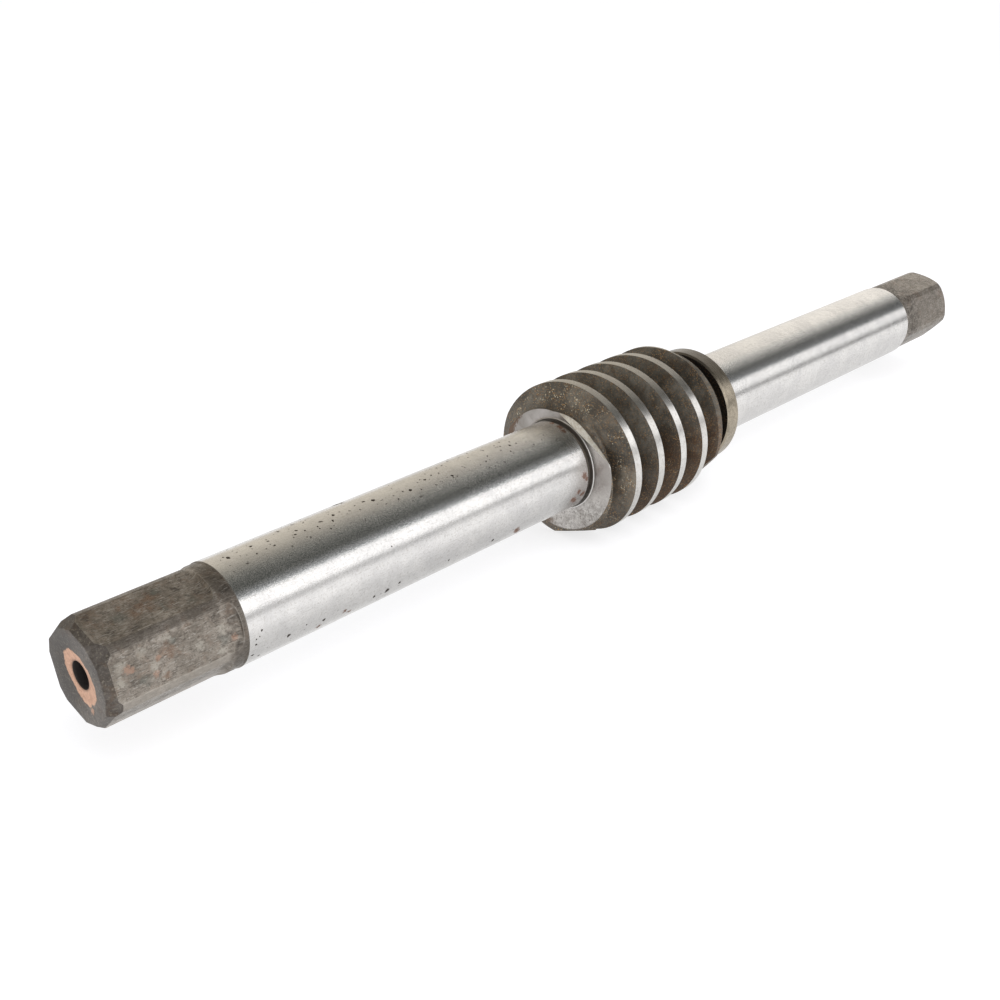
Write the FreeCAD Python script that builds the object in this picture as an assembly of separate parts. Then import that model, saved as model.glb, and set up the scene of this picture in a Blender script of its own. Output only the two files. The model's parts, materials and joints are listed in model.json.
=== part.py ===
import FreeCAD, Part
import math
import os

# Worm shaft: one bar of steel, turned, milled and ground, in millimetres.
# The shaft lies along X with its near end at low X, Z is up, and the origin is on
# its centre line at half its length. It has a hexagon at each end, two ground
# journals, and between them a right-hand worm of one thread.

# Journals, which run in the bearings
journal_diameter = 40.0
near_journal_length = 178.0
far_journal_length = 183.0

# Grinding reliefs, where each journal meets the worm
relief_width = 2.6
relief_depth = 1.6

# Hexagonal ends
hexagon_length = 52.0
across_flats = 35.6
corner_land_clearance = 0.3
near_chamfer_radial = 0.8
near_chamfer_axial = 0.8
far_chamfer_radial = 2.9
far_chamfer_axial = 3.7
near_hexagon_turn = 45.0
far_hexagon_turn = 42.0
cutter_corner_radius = 1.2
near_flat_margins = (6.0, 1.6, 5.4, 1.5, 1.6, 3.3)
far_flat_margins = (2.0, 2.0, 2.0, 2.0, 2.0, 2.0)

# Bevels filed round the near end face, on each flat and on the ridge after it, as their
# length along the shaft and their depth towards the centre line
near_flat_bevels = ((2.6, 1.4), (3.2, 1.7), (2.6, 1.4), (1.2, 0.7), (0.8, 0.4), (1.8, 1.1))
near_ridge_bevels = ((5.0, 3.3), (4.4, 3.0), (3.4, 2.5), (1.6, 1.2), (2.4, 1.7), (4.4, 3.2))

# Centre holes in both end faces, each in a shallow dish
centre_hole_diameter = 10.2
centre_hole_depth = 28.0
drill_point_angle = 118.0
dish_diameter = 26.0
dish_depth = 1.0

# Worm thread
crest_diameter = 71.0
axial_pitch = 16.0
thread_depth = 11.5
crest_land = 4.0
flank_angle = 20.0
root_bevel = 1.0
first_crest_offset = 8.9
steps_per_turn = 16

# Start of the thread: the tool comes down a long ramp to full depth, just before the top
full_depth_turn = -8.0
ramp_in_turn = 150.0

# Slanted flat that takes off the feather edge where the thread starts, beside the near face
feather_turn = 28.0
feather_height = 21.2
feather_slope = 2.4
feather_length = 2.0

# Flats that trim the thin edges where the thread starts and ends
start_flat_turn = 159.0
start_flat_height = 32.0
start_flat_length = 5.0
end_flat_turn = 131.0
end_flat_height = 31.2
end_flat_start = 74.0
end_flat_length = 10.0

# Ends of the worm, turned below the crests
near_hub_diameter = 63.8
near_hub_length = 1.3
hub_edge_chamfer = 1.2
near_cone_length = 1.0
full_crest_end = 72.0
step_length = 1.6
step_diameter = 67.2
step_land_length = 3.4
far_cone_length = 5.4

# Thread run-out groove and the collar beyond it
runout_groove_width = 7.6
runout_groove_depth = 0.4
collar_diameter = 56.4
collar_width = 8.4
collar_chamfer = 0.8

# Radii and stations that follow from the sizes above
journal_radius = journal_diameter / 2
corner_land_radius = journal_radius - corner_land_clearance
crest_radius = crest_diameter / 2
root_radius = crest_radius - thread_depth
near_hub_radius = near_hub_diameter / 2
step_radius = step_diameter / 2
collar_radius = collar_diameter / 2

crest_start = near_hub_length + near_cone_length
step_start = full_crest_end + step_length
step_end = step_start + step_land_length
runout_start = step_end + far_cone_length
runout_end = runout_start + runout_groove_width
worm_length = runout_end + collar_width

shaft_length = 2 * hexagon_length + near_journal_length + worm_length + far_journal_length
near_end = -shaft_length / 2
near_shoulder = near_end + hexagon_length
worm_near_face = near_shoulder + near_journal_length
worm_far_face = worm_near_face + worm_length
far_shoulder = worm_far_face + far_journal_length
far_end = far_shoulder + hexagon_length

origin = FreeCAD.Vector(0, 0, 0)
along_shaft = FreeCAD.Vector(1, 0, 0)


def point(station, radius):
    """A point of a turned outline: a station along the shaft and a radius above its centre line."""
    return FreeCAD.Vector(station, 0, radius)


def turned(outline):
    """The solid of revolution of an outline of (station, radius) points that ends on the centre line."""
    points = [point(station, radius) for station, radius in outline]
    wire = Part.makePolygon(points + [points[0]])
    return Part.Face(wire).revolve(origin, along_shaft, 360)


def bar():
    """The bar through the whole shaft: both ends with their chamfers, turned a little below the
    journals so that a bearing slides over them, then the journals and the reliefs."""
    relief_radius = journal_radius - relief_depth
    outline = [
        (near_end, 0),
        (near_end, corner_land_radius - near_chamfer_radial),
        (near_end + near_chamfer_axial, corner_land_radius),
        (near_shoulder, corner_land_radius),
        (near_shoulder, journal_radius),
        (worm_near_face - relief_width, journal_radius),
        (worm_near_face - relief_width, relief_radius),
        (worm_far_face + relief_width, relief_radius),
        (worm_far_face + relief_width, journal_radius),
        (far_shoulder, journal_radius),
        (far_shoulder, corner_land_radius),
        (far_end - far_chamfer_axial, corner_land_radius),
        (far_end, corner_land_radius - far_chamfer_radial),
        (far_end, 0),
    ]
    return turned(outline)


def worm_blank():
    """The worm before its thread is cut, with the hub, the cones, the run-out groove and the collar."""
    groove_radius = root_radius - runout_groove_depth
    outline = [
        (0, 0),
        (0, near_hub_radius - hub_edge_chamfer),
        (hub_edge_chamfer, near_hub_radius),
        (near_hub_length, near_hub_radius),
        (crest_start, crest_radius),
        (full_crest_end, crest_radius),
        (step_start, step_radius),
        (step_end, step_radius),
        (runout_start, collar_radius),
        (runout_start, groove_radius),
        (runout_end, groove_radius),
        (runout_end, collar_radius - collar_chamfer),
        (runout_end + collar_chamfer, collar_radius),
        (worm_length - collar_chamfer, collar_radius),
        (worm_length, collar_radius - collar_chamfer),
        (worm_length, 0),
    ]
    return turned([(worm_near_face + station, radius) for station, radius in outline])


def thread_strips():
    """The thread space across the thread, as lines from (station, radius) to (station, radius):
    two straight flanks, a root with a bevel in each corner, and a lid clear of the crests."""
    slope = math.tan(math.radians(flank_angle))
    over = crest_land / 2
    half_root = (axial_pitch - crest_land) / 2 - thread_depth * slope
    half_top = half_root + (thread_depth + over) * slope
    bevel = min(root_bevel, half_root / 2)
    outline = [
        (-half_top, crest_radius + over),
        (-half_root - bevel * slope, root_radius + bevel),
        (bevel - half_root, root_radius),
        (half_root - bevel, root_radius),
        (half_root + bevel * slope, root_radius + bevel),
        (half_top, crest_radius + over),
    ]
    return list(zip(outline, outline[1:] + outline[:1]))


def helix(first_turn, last_turn):
    """A helix of unit radius and unit pitch about Z as a smooth curve. It is at the top of the
    shaft, which is on +X here, wherever its turn is whole."""
    steps = math.ceil((last_turn - first_turn) * steps_per_turn)
    points = []
    for step in range(steps + 1):
        turn = first_turn + (last_turn - first_turn) * step / steps
        angle = 2 * math.pi * turn
        points.append(FreeCAD.Vector(math.cos(angle), math.sin(angle), turn))
    tangents = []
    for turn in (first_turn, last_turn):
        angle = 2 * math.pi * turn
        tangent = FreeCAD.Vector(-math.sin(angle), math.cos(angle), 1 / (2 * math.pi))
        tangents.append(tangent.normalize())
    curve = Part.BSplineCurve()
    curve.interpolate(Points=points, InitialTangent=tangents[0], FinalTangent=tangents[1], Scale=False)
    return curve


def swept_strip(curve, strip, lift):
    """The face that one line of the thread space sweeps along a helix: straight across it, and
    lifted off the shaft by an amount that falls evenly to nothing at the end of the helix."""
    helix_poles = curve.getPoles()
    last = len(helix_poles) - 1
    poles = []
    for number, pole in enumerate(helix_poles):
        raised = lift * (1 - number / last)
        poles.append([
            FreeCAD.Vector(
                pole.x * (radius + raised), pole.y * (radius + raised), pole.z * axial_pitch + station
            )
            for station, radius in strip
        ])
    surface = Part.BSplineSurface()
    surface.buildFromPolesMultsKnots(
        poles, curve.getMultiplicities(), [2, 2], curve.getKnots(), [0, 1], False, False, curve.Degree, 1
    )
    return surface.toShape()


def end_cap(face_corners, turn, lift):
    """The flat face that closes the thread space at one end of its helix."""
    angle = 2 * math.pi * turn
    across = FreeCAD.Vector(math.cos(angle), math.sin(angle), 0)
    along = FreeCAD.Vector(0, 0, 1)
    corners = [
        across * (radius + lift) + along * (turn * axial_pitch + station) for station, radius in face_corners
    ]
    return Part.Face(Part.makePolygon(corners + corners[:1]))


def thread_space():
    """The helical space that the thread tool clears. The tool comes down along a ramp at the near
    face and runs out in the middle of the run-out groove."""
    strips = thread_strips()
    corners = [strip[0] for strip in strips]
    ramp = ramp_in_turn / 360
    first_space = first_crest_offset - axial_pitch / 2 + axial_pitch * full_depth_turn / 360
    run_out = (runout_start + runout_end) / 2
    whole_turns = math.floor((run_out - first_space) / axial_pitch)
    part_turn = (run_out - first_space) / axial_pitch - whole_turns

    ramp_helix = helix(-ramp, 0)
    turn_helix = helix(0, 1)
    part_helix = helix(0, part_turn)
    faces = [end_cap(corners, -ramp, thread_depth), end_cap(corners, whole_turns + part_turn, 0)]
    for strip in strips:
        faces.append(swept_strip(ramp_helix, strip, thread_depth))
        for turn in range(whole_turns):
            face = swept_strip(turn_helix, strip, 0)
            face.translate(FreeCAD.Vector(0, 0, turn * axial_pitch))
            faces.append(face)
        face = swept_strip(part_helix, strip, 0)
        face.translate(FreeCAD.Vector(0, 0, whole_turns * axial_pitch))
        faces.append(face)
    shell = Part.Shell(faces)
    shell.sewShape()
    space = Part.Solid(shell)

    space.rotate(origin, FreeCAD.Vector(0, 1, 0), 90)
    space.rotate(origin, along_shaft, 180 + full_depth_turn)
    space.translate(along_shaft * (worm_near_face + first_space))
    return space


def trimmer(station, length, height, turn, slope=0.0):
    """The stock above a flat that trims the worm over a short length. The flat may slope: its height
    is the one given where it meets the near face."""
    first = worm_near_face + station
    last = first + length
    top = height + crest_radius
    corners = [
        point(first, height + slope * station),
        point(last, height + slope * (station + length)),
        point(last, top),
        point(first, top),
    ]
    stock = Part.Face(Part.makePolygon(corners + corners[:1])).extrude(FreeCAD.Vector(0, crest_diameter, 0))
    stock.translate(FreeCAD.Vector(0, -crest_radius, 0))
    stock.rotate(origin, along_shaft, turn)
    return stock


def flat_cutter(end, margin, outward):
    """The stock that a milling cutter takes from one flat: down to the flat, with a round corner
    where it stops short of the journal. It is drawn for the top of the shaft."""
    flat = across_flats / 2
    clear = journal_diameter
    shoulder = end - outward * hexagon_length
    stop = shoulder + outward * margin
    corner = cutter_corner_radius
    bow = corner * math.sqrt(0.5)
    foot = point(stop, flat)
    middle = point(stop - outward * bow, flat + corner - bow)
    side = point(stop - outward * corner, flat + corner)
    top = point(stop - outward * corner, clear)
    far_top = point(end + outward * clear, clear)
    far_foot = point(end + outward * clear, flat)
    wire = Part.Wire([
        Part.makeLine(far_foot, foot),
        Part.Arc(foot, middle, side).toShape(),
        Part.makeLine(side, top),
        Part.makeLine(top, far_top),
        Part.makeLine(far_top, far_foot),
    ])
    cutter = Part.Face(wire).extrude(FreeCAD.Vector(0, 2 * clear, 0))
    cutter.translate(FreeCAD.Vector(0, -clear, 0))
    return cutter


def hexagon_cutters(end, margins, ridge_turn, outward):
    """Six flat cutters round one end of the shaft, the first flat half a step before the first ridge."""
    cutters = []
    for number in range(6):
        cutter = flat_cutter(end, margins[number], outward)
        cutter.rotate(origin, along_shaft, ridge_turn - 30 + number * 60)
        cutters.append(cutter)
    return cutters


def bevel_cutter(radius, length, depth):
    """The stock above a filed bevel of the near end: its plane leaves the given radius at the length
    from the end and reaches the depth below it at the end. It is drawn for the top of the shaft."""
    clear = journal_diameter
    corners = [
        point(near_end + 2 * length, radius + depth),
        point(near_end - length, radius + depth),
        point(near_end - length, radius - 2 * depth),
    ]
    cutter = Part.Face(Part.makePolygon(corners + corners[:1])).extrude(FreeCAD.Vector(0, 2 * clear, 0))
    cutter.translate(FreeCAD.Vector(0, -clear, 0))
    return cutter


def near_bevel_cutters():
    """The bevels on the six flats and the six ridges of the near end."""
    cutters = []
    for number in range(6):
        ridge_turn = near_hexagon_turn + number * 60
        flat_bevel = bevel_cutter(across_flats / 2, *near_flat_bevels[number])
        flat_bevel.rotate(origin, along_shaft, ridge_turn - 30)
        ridge_bevel = bevel_cutter(corner_land_radius, *near_ridge_bevels[number])
        ridge_bevel.rotate(origin, along_shaft, ridge_turn)
        cutters += [flat_bevel, ridge_bevel]
    return cutters


def centre_hole(end, outward):
    """A drilled centre hole with the cone that its drill leaves, in the dish of the end face."""
    radius = centre_hole_diameter / 2
    cone = radius / math.tan(math.radians(drill_point_angle / 2))
    floor = end - outward * centre_hole_depth
    dish_floor = end - outward * dish_depth
    outline = [
        (end + outward * dish_depth, 0),
        (end + outward * dish_depth, dish_diameter / 2),
        (end, dish_diameter / 2),
        (dish_floor, radius),
        (floor, radius),
        (floor - outward * cone, 0),
    ]
    return turned(outline)


def worm_shaft():
    """The whole shaft as one solid."""
    start_trimmer = trimmer(-1, start_flat_length + 1, start_flat_height, start_flat_turn)
    end_trimmer = trimmer(end_flat_start, end_flat_length, end_flat_height, end_flat_turn)
    feather_trimmer = trimmer(-1, feather_length + 1, feather_height, feather_turn, feather_slope)
    worm = worm_blank().cut([thread_space(), start_trimmer, end_trimmer, feather_trimmer])
    cutters = hexagon_cutters(near_end, near_flat_margins, near_hexagon_turn, -1)
    cutters += hexagon_cutters(far_end, far_flat_margins, far_hexagon_turn, 1)
    cutters += near_bevel_cutters()
    cutters += [centre_hole(near_end, -1), centre_hole(far_end, 1)]
    milled_bar = bar().cut(cutters)
    return milled_bar.fuse(worm).removeSplitter()


os.makedirs("parts", exist_ok=True)
shaft = worm_shaft()
shaft.exportStep("parts/worm_shaft.step")
print("solids", len(shaft.Solids), "valid", shaft.isValid(), "volume cm3", round(shaft.Volume / 1000, 1))
print("length", round(shaft_length, 2), "worm from", round(worm_near_face, 2), "to", round(worm_far_face, 2))
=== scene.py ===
import json
import bpy
from math import ceil, cos, pi, radians, sin, tan
from mathutils import Matrix, Vector

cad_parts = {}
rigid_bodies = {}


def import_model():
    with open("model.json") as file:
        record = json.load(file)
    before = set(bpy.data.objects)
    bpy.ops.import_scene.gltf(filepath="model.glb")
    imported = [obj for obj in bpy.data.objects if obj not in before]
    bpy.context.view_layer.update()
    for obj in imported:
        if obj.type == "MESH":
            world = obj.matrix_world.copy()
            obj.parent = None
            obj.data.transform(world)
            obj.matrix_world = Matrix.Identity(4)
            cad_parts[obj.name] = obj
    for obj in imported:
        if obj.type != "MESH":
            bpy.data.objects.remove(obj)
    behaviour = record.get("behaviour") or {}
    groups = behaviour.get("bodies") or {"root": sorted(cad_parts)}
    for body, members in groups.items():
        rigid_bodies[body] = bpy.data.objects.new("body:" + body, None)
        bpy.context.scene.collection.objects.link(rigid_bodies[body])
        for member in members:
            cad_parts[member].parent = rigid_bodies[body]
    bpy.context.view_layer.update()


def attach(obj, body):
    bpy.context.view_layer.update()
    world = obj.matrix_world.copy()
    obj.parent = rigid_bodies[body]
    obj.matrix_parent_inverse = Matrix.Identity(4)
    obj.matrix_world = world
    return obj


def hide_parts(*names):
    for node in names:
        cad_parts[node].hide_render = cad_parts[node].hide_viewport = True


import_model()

mm = 0.001


# small helpers for modelling by hand

def selectNothing():
    if bpy.context.object and bpy.context.object.mode != "OBJECT":
        bpy.ops.object.mode_set(mode="OBJECT")
    for thing in bpy.context.view_layer.objects:
        thing.select_set(False)


def pick(thing):
    selectNothing()
    thing.select_set(True)
    bpy.context.view_layer.objects.active = thing


def settle(thing, name):
    # the place, turn and scale go into the mesh
    pick(thing)
    bpy.ops.object.transform_apply(location=True, rotation=True, scale=True)
    thing.name = name
    thing.data.name = name


def around(turn, radius, station=0.0):
    # the turn is in degrees round the shaft, 0 at the top, growing towards -Y
    angle = radians(turn)
    return Vector((station, -sin(angle) * radius, cos(angle) * radius))


def cutAway(body, tool):
    # takes the tool out of the body and throws the tool away
    pick(body)
    bpy.ops.object.modifier_add(type="BOOLEAN")
    cut = body.modifiers[-1]
    cut.operation = "DIFFERENCE"
    cut.solver = "EXACT"
    cut.object = tool
    bpy.ops.object.modifier_apply(modifier=cut.name)
    bpy.data.objects.remove(tool, do_unlink=True)


def selectFaces(thing, wanted):
    # selects the faces for which wanted(centre, normal) holds, and leaves edit mode on
    pick(thing)
    bpy.ops.object.mode_set(mode="EDIT")
    bpy.ops.mesh.select_mode(type="FACE")
    bpy.ops.mesh.select_all(action="DESELECT")
    bpy.ops.object.mode_set(mode="OBJECT")
    for face in thing.data.polygons:
        face.select = wanted(face.center, face.normal)
    bpy.ops.object.mode_set(mode="EDIT")


def selectVerts(thing, wanted):
    pick(thing)
    bpy.ops.object.mode_set(mode="EDIT")
    bpy.ops.mesh.select_mode(type="VERT")
    bpy.ops.mesh.select_all(action="DESELECT")
    bpy.ops.object.mode_set(mode="OBJECT")
    for vert in thing.data.vertices:
        vert.select = wanted(vert.co)
    bpy.ops.object.mode_set(mode="EDIT")


# the shaft: one bar, turned, milled, threaded and ground (sizes in mm)

shaft = {
    "segments": 192,
    "nearEnd": -281.69, "nearShoulder": -229.7, "wormNear": -51.7,
    "wormFar": 46.7, "farShoulder": 229.7, "farEnd": 281.69,
    "journal": 20.0, "cornerLand": 19.7,
    "nearChamfer": 0.8, "farChamferLength": 3.7, "farChamferDepth": 2.9,
    "reliefWidth": 2.6, "relief": 18.4,
    "hole": 5.1, "holeDepth": 28.0, "holeTip": 3.06, "dish": 13.0, "dishDepth": 1.0,
    "hub": 31.9, "hubChamfer": 1.2, "hubLength": 1.3, "crestStart": 2.3,
    "crest": 35.46, "crestEnd": 72.0, "step": 33.6, "stepStart": 73.6, "stepEnd": 77.0,
    "runoutStart": 82.4, "runoutEnd": 90.0, "runout": 23.6, "collar": 28.2, "collarChamfer": 0.8,
    "edgeBevel": 0.22, "supportGap": 0.8,
}

worm = {
    "pitch": 16.0, "depth": 11.46, "crestLand": 4.0, "flankAngle": 20.0, "rootRound": 1.3,
    "firstSpace": 0.5444, "fullDepthTurn": -8.0, "rampTurn": 150.0, "runOut": 86.2, "stepsPerTurn": 72,
    "featherFlat": {"turn": 28.0, "height": 21.2, "slope": 2.4, "length": 2.0},
    "startFlat": {"turn": 159.0, "height": 32.0, "start": -1.0, "length": 6.0},
    "endFlat": {"turn": 131.0, "height": 31.2, "start": 74.0, "length": 10.0},
}

hexagon = {
    "acrossFlats": 35.6, "length": 52.0, "cornerRadius": 2.2,
    "nearTurn": 45.0, "farTurn": 42.0,
    "nearMargins": (6.0, 1.6, 5.4, 1.5, 1.6, 3.3), "farMargins": (2.0, 2.0, 2.0, 2.0, 2.0, 2.0),
    # length and depth of the bevels filed round the near end, on each flat and on the ridge after it
    "flatBevels": ((2.6, 1.4), (3.2, 1.7), (2.6, 1.4), (1.2, 0.7), (0.8, 0.4), (1.8, 1.1)),
    "ridgeBevels": ((5.0, 3.3), (4.4, 3.0), (3.4, 2.5), (1.6, 1.2), (2.4, 1.7), (4.4, 3.2)),
}


# the blocks that cut: each reaches past the bar on every side that it doesn't cut
cutters = {
    "flatReach": 6.0, "flatWidth": 60.0, "flatHeight": 20.0,
    "stockMiddle": 24.0, "stockWidth": 70.0, "stockHeight": 30.0,
    "trimWidth": 71.0, "trimHeight": 12.0, "bevelStart": 0.5, "pastBevel": 3.0,
}


def shaftOutline():
    # from the bottom of the near centre hole, along the outside, to the bottom of the far one
    s = shaft
    near, end, far = s["wormNear"], s["nearEnd"], s["farEnd"]
    bottom = s["holeDepth"]
    rows = [(end + bottom + s["holeTip"], 0.04), (end + bottom, s["hole"]),
            (end + s["dishDepth"], s["hole"]),
            (end, s["dish"]), (end, s["cornerLand"] - s["nearChamfer"]),
            (end + s["nearChamfer"], s["cornerLand"]),
            (s["nearShoulder"], s["cornerLand"]), (s["nearShoulder"], s["journal"]),
            (near - s["reliefWidth"], s["journal"]), (near - s["reliefWidth"], s["relief"]),
            (near, s["relief"]), (near, s["hub"] - s["hubChamfer"]), (near + s["hubChamfer"], s["hub"]),
            (near + s["hubLength"], s["hub"]), (near + s["crestStart"], s["crest"]),
            (near + s["crestEnd"], s["crest"]), (near + s["stepStart"], s["step"]),
            (near + s["stepEnd"], s["step"]), (near + s["runoutStart"], s["collar"]),
            (near + s["runoutStart"], s["runout"]), (near + s["runoutEnd"], s["runout"]),
            (near + s["runoutEnd"], s["collar"] - s["collarChamfer"]),
            (near + s["runoutEnd"] + s["collarChamfer"], s["collar"]),
            (s["wormFar"] - s["collarChamfer"], s["collar"]),
            (s["wormFar"], s["collar"] - s["collarChamfer"]),
            (s["wormFar"], s["relief"]), (s["wormFar"] + s["reliefWidth"], s["relief"]),
            (s["wormFar"] + s["reliefWidth"], s["journal"]),
            (s["farShoulder"], s["journal"]), (s["farShoulder"], s["cornerLand"]),
            (far - s["farChamferLength"], s["cornerLand"]), (far, s["cornerLand"] - s["farChamferDepth"]),
            (far, s["dish"]), (far - s["dishDepth"], s["hole"]), (far - bottom, s["hole"]),
            (far - bottom - s["holeTip"], 0.04)]
    return withSupports(rows)


def withSupports(rows):
    # a ring close to each end of a long plain stretch keeps its shading straight
    gap = shaft["supportGap"]
    result = rows[:1]
    for (station, radius), (nextStation, nextRadius) in zip(rows, rows[1:]):
        if radius == nextRadius and abs(nextStation - station) > 4 * gap:
            step = gap if nextStation > station else -gap
            result += [(station + step, radius), (nextStation - step, radius)]
        result.append((nextStation, nextRadius))
    return result


def turnShaft():
    selectNothing()
    rows = shaftOutline()
    station, radius = rows[0]
    bpy.ops.mesh.primitive_circle_add(
        vertices=shaft["segments"], radius=radius * mm, fill_type="NGON", enter_editmode=True,
        location=(station * mm, 0, 0), rotation=(0, pi / 2, 0))
    for nextStation, nextRadius in rows[1:]:
        move = ((nextStation - station) * mm, 0, 0)
        bpy.ops.mesh.extrude_region_move(TRANSFORM_OT_translate={"value": move})
        if nextRadius != radius:
            share = nextRadius / radius
            bpy.ops.transform.resize(value=(1, share, share), center_override=(nextStation * mm, 0, 0))
        station, radius = nextStation, nextRadius
    bpy.ops.mesh.select_all(action="SELECT")
    bpy.ops.mesh.normals_make_consistent(inside=False)
    bpy.ops.object.mode_set(mode="OBJECT")
    body = bpy.context.object
    settle(body, "wormShaft")
    bpy.ops.object.modifier_add(type="BEVEL")  # the small radius left on each turned corner
    edge = body.modifiers[-1]
    edge.width = shaft["edgeBevel"] * mm
    edge.segments = 2
    edge.limit_method = "ANGLE"
    edge.angle_limit = radians(35)
    bpy.ops.object.modifier_apply(modifier=edge.name)
    return body


def flatCutter(end, margin, outward, turn):
    # a block whose inner lower edge has the round corner that the milling cutter leaves
    selectNothing()
    inner = end - outward * (hexagon["length"] - margin)
    outer = end + outward * cutters["flatReach"]
    low, high = sorted((inner, outer))
    flat = hexagon["acrossFlats"] / 2
    bpy.ops.mesh.primitive_cube_add(
        size=1, location=((low + high) / 2 * mm, 0, (flat + cutters["flatHeight"] / 2) * mm),
        scale=((high - low) * mm, cutters["flatWidth"] * mm, cutters["flatHeight"] * mm))
    block = bpy.context.object
    settle(block, "flatCutter")
    selectVerts(block, lambda co: abs(co.x - inner * mm) < 1e-6 and co.z < (flat + 1) * mm)
    bpy.ops.mesh.bevel(offset=hexagon["cornerRadius"] * mm, segments=6, profile=0.5, affect="EDGES")
    bpy.ops.mesh.select_all(action="SELECT")
    bpy.ops.transform.rotate(value=-radians(turn), orient_axis="X", center_override=(0, 0, 0))
    bpy.ops.mesh.normals_make_consistent(inside=False)
    bpy.ops.object.mode_set(mode="OBJECT")
    return block


def millHexagons(body):
    for number in range(6):
        turn = hexagon["nearTurn"] - 30 + 60 * number
        cutAway(body, flatCutter(shaft["nearEnd"], hexagon["nearMargins"][number], -1, turn))
        turn = hexagon["farTurn"] - 30 + 60 * number
        cutAway(body, flatCutter(shaft["farEnd"], hexagon["farMargins"][number], 1, turn))


def slantedStock(start, length, height, slope, turn):
    # the stock above a slanted flat, which is at the given height where it starts
    selectNothing()
    bpy.ops.mesh.primitive_cube_add(
        size=1, location=((start + length / 2) * mm, 0, cutters["stockMiddle"] * mm),
        scale=(length * mm, cutters["stockWidth"] * mm, cutters["stockHeight"] * mm))
    block = bpy.context.object
    settle(block, "slantedStock")
    bpy.ops.object.mode_set(mode="EDIT")
    bpy.ops.mesh.select_all(action="SELECT")
    bpy.ops.mesh.bisect(plane_co=(start * mm, 0, height * mm), plane_no=Vector((-slope, 0, 1)).normalized(),
                        use_fill=True, clear_inner=True)
    bpy.ops.mesh.select_all(action="SELECT")
    bpy.ops.transform.rotate(value=-radians(turn), orient_axis="X", center_override=(0, 0, 0))
    bpy.ops.mesh.normals_make_consistent(inside=False)
    bpy.ops.object.mode_set(mode="OBJECT")
    return block


def fileBevel(body, bevel, radius, turn):
    length, depth = bevel
    slope = depth / length
    over = cutters["bevelStart"]
    start = shaft["nearEnd"] - over
    height = radius - depth - over * slope
    cutAway(body, slantedStock(start, length + cutters["pastBevel"], height, slope, turn))


def fileNearEnd(body):
    for number in range(6):
        ridgeTurn = hexagon["nearTurn"] + 60 * number
        fileBevel(body, hexagon["flatBevels"][number], hexagon["acrossFlats"] / 2, ridgeTurn - 30)
        fileBevel(body, hexagon["ridgeBevels"][number], shaft["cornerLand"], ridgeTurn)


def trimBlock(cut):
    selectNothing()
    high = cutters["trimHeight"]
    bpy.ops.mesh.primitive_cube_add(
        size=1, scale=(cut["length"] * mm, cutters["trimWidth"] * mm, high * mm),
        rotation=(radians(cut["turn"]), 0, 0),
        location=around(cut["turn"], (cut["height"] + high / 2) * mm,
                        (shaft["wormNear"] + cut["start"] + cut["length"] / 2) * mm))
    block = bpy.context.object
    settle(block, "trimBlock")
    return block


def threadTool():
    # the trapezoid of the thread space, carried along its helix one small step at a time
    selectNothing()
    slope = tan(radians(worm["flankAngle"]))
    over = worm["crestLand"] / 2
    root = shaft["crest"] - worm["depth"]
    halfRoot = (worm["pitch"] - worm["crestLand"]) / 2 - worm["depth"] * slope
    halfTop = halfRoot + (worm["depth"] + over) * slope
    top = shaft["crest"] + over
    middle = (root + top) / 2 * mm
    bpy.ops.mesh.primitive_plane_add(size=1, rotation=(pi / 2, 0, 0), location=(0, 0, middle))
    tool = bpy.context.object
    tool.scale = (2 * halfTop * mm, (top - root) * mm, 1)
    settle(tool, "threadTool")
    selectVerts(tool, lambda co: co.z < middle)
    bpy.ops.transform.resize(value=(halfRoot / halfTop, 1, 1), center_override=(0, 0, root * mm))
    bpy.ops.mesh.bevel(offset=worm["rootRound"] * mm, segments=4, profile=0.5, affect="VERTICES")
    bpy.ops.mesh.select_all(action="SELECT")
    # to the start of the ramp
    startTurn = worm["fullDepthTurn"] - worm["rampTurn"]
    startStation = shaft["wormNear"] + worm["firstSpace"] - worm["pitch"] * worm["rampTurn"] / 360
    bpy.ops.transform.translate(value=(startStation * mm, 0, worm["depth"] * mm))
    bpy.ops.transform.rotate(value=-radians(startTurn), orient_axis="X", center_override=(0, 0, 0))
    bpy.ops.mesh.select_mode(type="FACE")
    bpy.ops.mesh.select_all(action="SELECT")
    turns = (worm["runOut"] - worm["firstSpace"]) / worm["pitch"]
    rampSteps = ceil(worm["rampTurn"] / 360 * worm["stepsPerTurn"])
    fullSteps = ceil(turns * worm["stepsPerTurn"])
    turn = startTurn
    for step in range(rampSteps + fullSteps):
        onRamp = step < rampSteps
        advance = worm["rampTurn"] / rampSteps if onRamp else turns * 360 / fullSteps
        turn += advance
        bpy.ops.mesh.extrude_region_move(
            TRANSFORM_OT_translate={"value": (worm["pitch"] * advance / 360 * mm, 0, 0)})
        bpy.ops.transform.rotate(value=-radians(advance), orient_axis="X", center_override=(0, 0, 0))
        if onRamp:
            bpy.ops.transform.translate(value=around(turn, -worm["depth"] / rampSteps * mm))
    bpy.ops.mesh.select_all(action="SELECT")
    bpy.ops.mesh.normals_make_consistent(inside=False)
    bpy.ops.object.mode_set(mode="OBJECT")
    return tool


def cutThread(body):
    cutAway(body, threadTool())
    feather = worm["featherFlat"]
    cutAway(body, slantedStock(shaft["wormNear"], feather["length"], feather["height"], feather["slope"],
                               feather["turn"]))
    cutAway(body, trimBlock(worm["startFlat"]))
    cutAway(body, trimBlock(worm["endFlat"]))


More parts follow.
